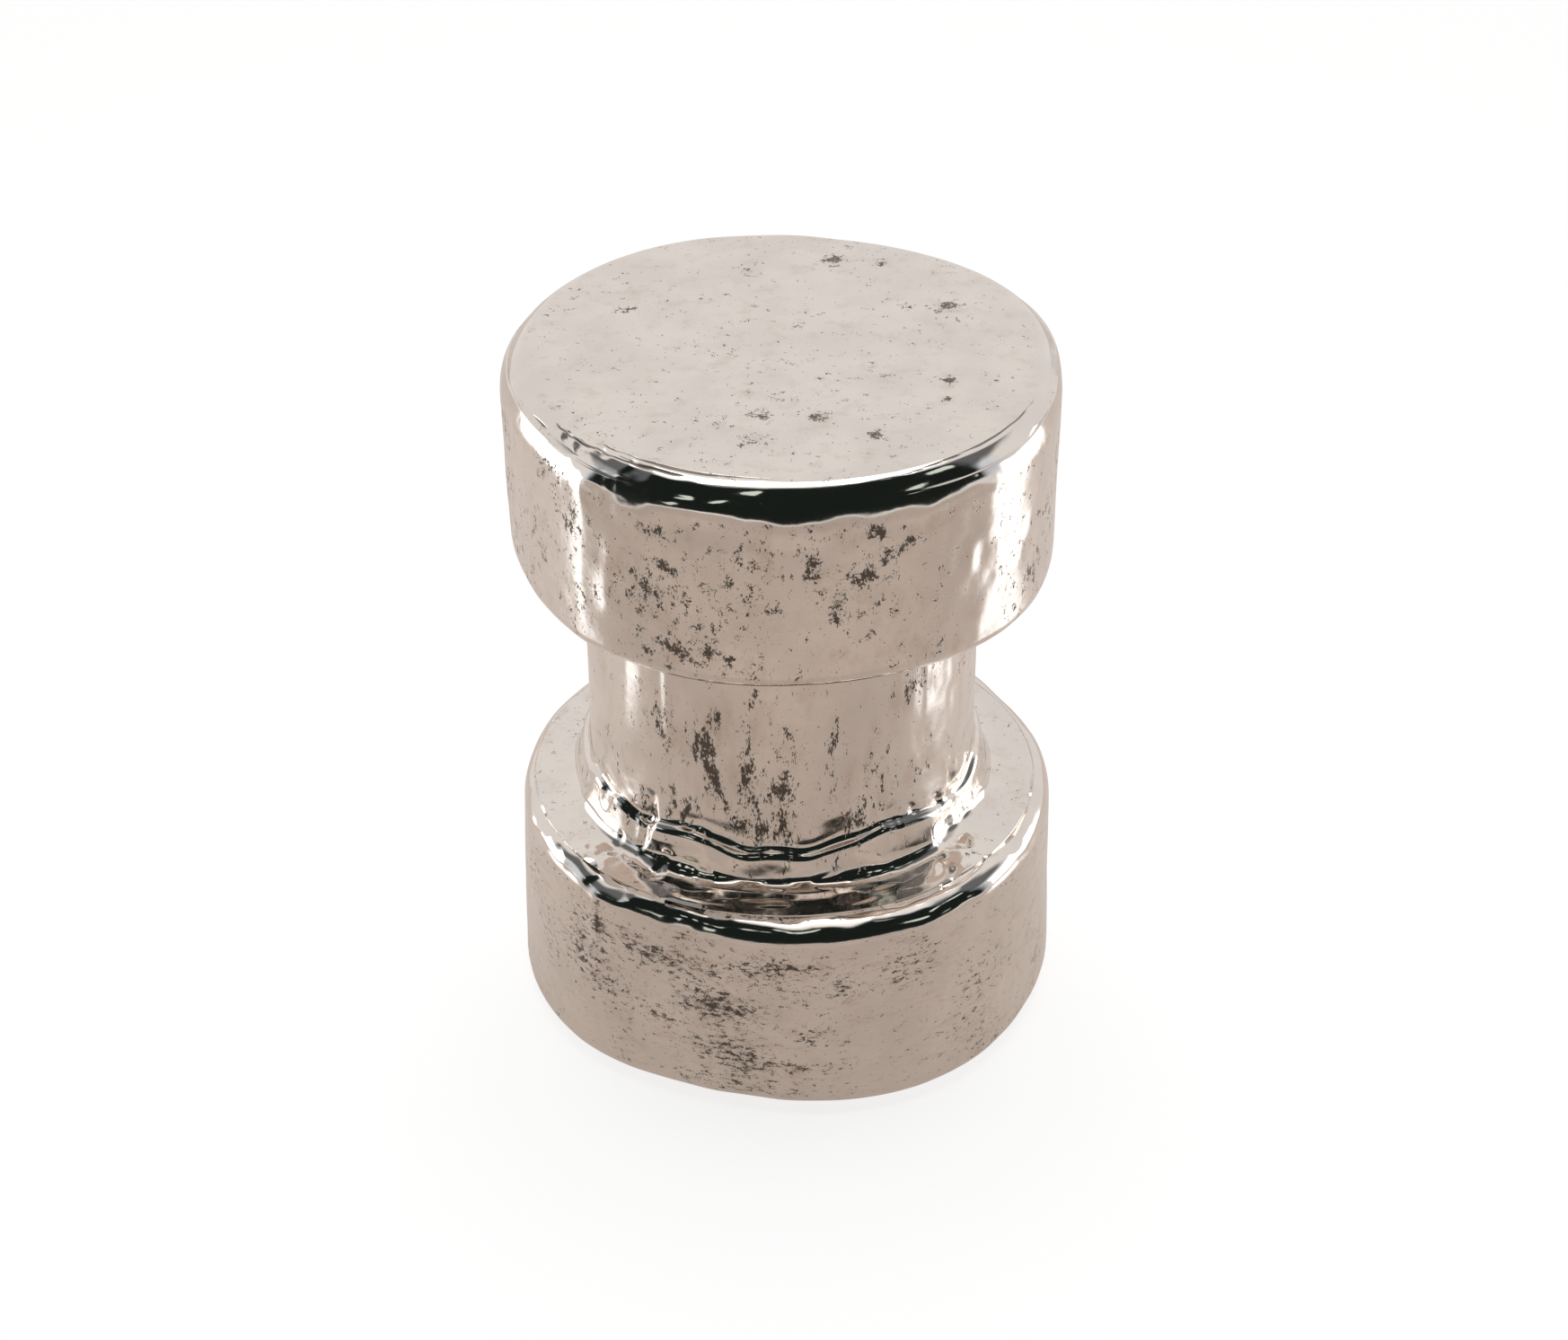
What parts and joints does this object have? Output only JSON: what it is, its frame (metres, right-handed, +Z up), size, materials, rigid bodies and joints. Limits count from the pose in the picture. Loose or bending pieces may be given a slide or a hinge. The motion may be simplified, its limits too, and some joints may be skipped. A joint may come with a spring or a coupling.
{
  "type": "drum stool",
  "caption": "Polished cast metal stool or side table: a broad round seat drum and a broad round base drum on a narrower neck, on screw levellers.",
  "frame": {"origin": "on the floor, under the centre of the stool", "axes": "+Z up through the seat; +Y away from the viewer, +X to the viewer's right"},
  "size_m": [0.3564, 0.3564, 0.46],
  "materials": {
    "cast_aluminium": "hand-polished casting, mirror bright, with small dull casting pits",
    "zinc_steel": "zinc plated, satin",
    "ground_steel": "ground and hardened, smooth",
    "insert_brass": "turned, bright",
    "cover_paint": "textured powder coat, dark grey",
    "glide_nylon": "moulded, matt"
  },
  "bodies": {
    "root": {"seat_casting": "cast_aluminium", "neck_casting": "cast_aluminium", "base_casting": "cast_aluminium", "seat_joint_screws": "zinc_steel", "seat_joint_washers": "zinc_steel", "seat_joint_dowels": "ground_steel", "base_joint_screws": "zinc_steel", "base_joint_washers": "zinc_steel", "base_joint_dowels": "ground_steel", "cover_plate": "cover_paint", "cover_screws": "zinc_steel", "leveller_inserts": "insert_brass", "leveller_jam_nuts": "zinc_steel"},
    "pad_1": {"leveller_cup_1": "zinc_steel", "leveller_glide_1": "glide_nylon"},
    "stud_1": {"leveller_stud_1": "zinc_steel"},
    "pad_2": {"leveller_cup_2": "zinc_steel", "leveller_glide_2": "glide_nylon"},
    "stud_2": {"leveller_stud_2": "zinc_steel"},
    "pad_3": {"leveller_cup_3": "zinc_steel", "leveller_glide_3": "glide_nylon"},
    "stud_3": {"leveller_stud_3": "zinc_steel"},
    "pad_4": {"leveller_cup_4": "zinc_steel", "leveller_glide_4": "glide_nylon"},
    "stud_4": {"leveller_stud_4": "zinc_steel"}
  },
  "joints": [
    {"name": "leveller_travel_1", "type": "slide", "parent": "root", "child": "pad_1", "axis": [0, 0, -1], "range_m": [-0.004, 0.008]},
    {"name": "leveller_turn_1", "type": "hinge", "parent": "pad_1", "child": "stud_1", "pos_m": [0.09369, 0.09369, 0.007], "axis": [0, 0, -1], "range_deg": [-960.5, 1921]},
    {"name": "leveller_travel_2", "type": "slide", "parent": "root", "child": "pad_2", "axis": [0, 0, -1], "range_m": [-0.004, 0.008]},
    {"name": "leveller_turn_2", "type": "hinge", "parent": "pad_2", "child": "stud_2", "pos_m": [-0.09369, 0.09369, 0.007], "axis": [0, 0, -1], "range_deg": [-960.5, 1921]},
    {"name": "leveller_travel_3", "type": "slide", "parent": "root", "child": "pad_3", "axis": [0, 0, -1], "range_m": [-0.004, 0.008]},
    {"name": "leveller_turn_3", "type": "hinge", "parent": "pad_3", "child": "stud_3", "pos_m": [-0.09369, -0.09369, 0.007], "axis": [0, 0, -1], "range_deg": [-960.5, 1921]},
    {"name": "leveller_travel_4", "type": "slide", "parent": "root", "child": "pad_4", "axis": [0, 0, -1], "range_m": [-0.004, 0.008]},
    {"name": "leveller_turn_4", "type": "hinge", "parent": "pad_4", "child": "stud_4", "pos_m": [0.09369, -0.09369, 0.007], "axis": [0, 0, -1], "range_deg": [-960.5, 1921]}
  ],
  "couplings": [
    {"joint": "leveller_turn_1", "follows": "leveller_travel_1", "rad_per_m": 4188.8},
    {"joint": "leveller_turn_2", "follows": "leveller_travel_2", "rad_per_m": 4188.8},
    {"joint": "leveller_turn_3", "follows": "leveller_travel_3", "rad_per_m": 4188.8},
    {"joint": "leveller_turn_4", "follows": "leveller_travel_4", "rad_per_m": 4188.8}
  ]
}
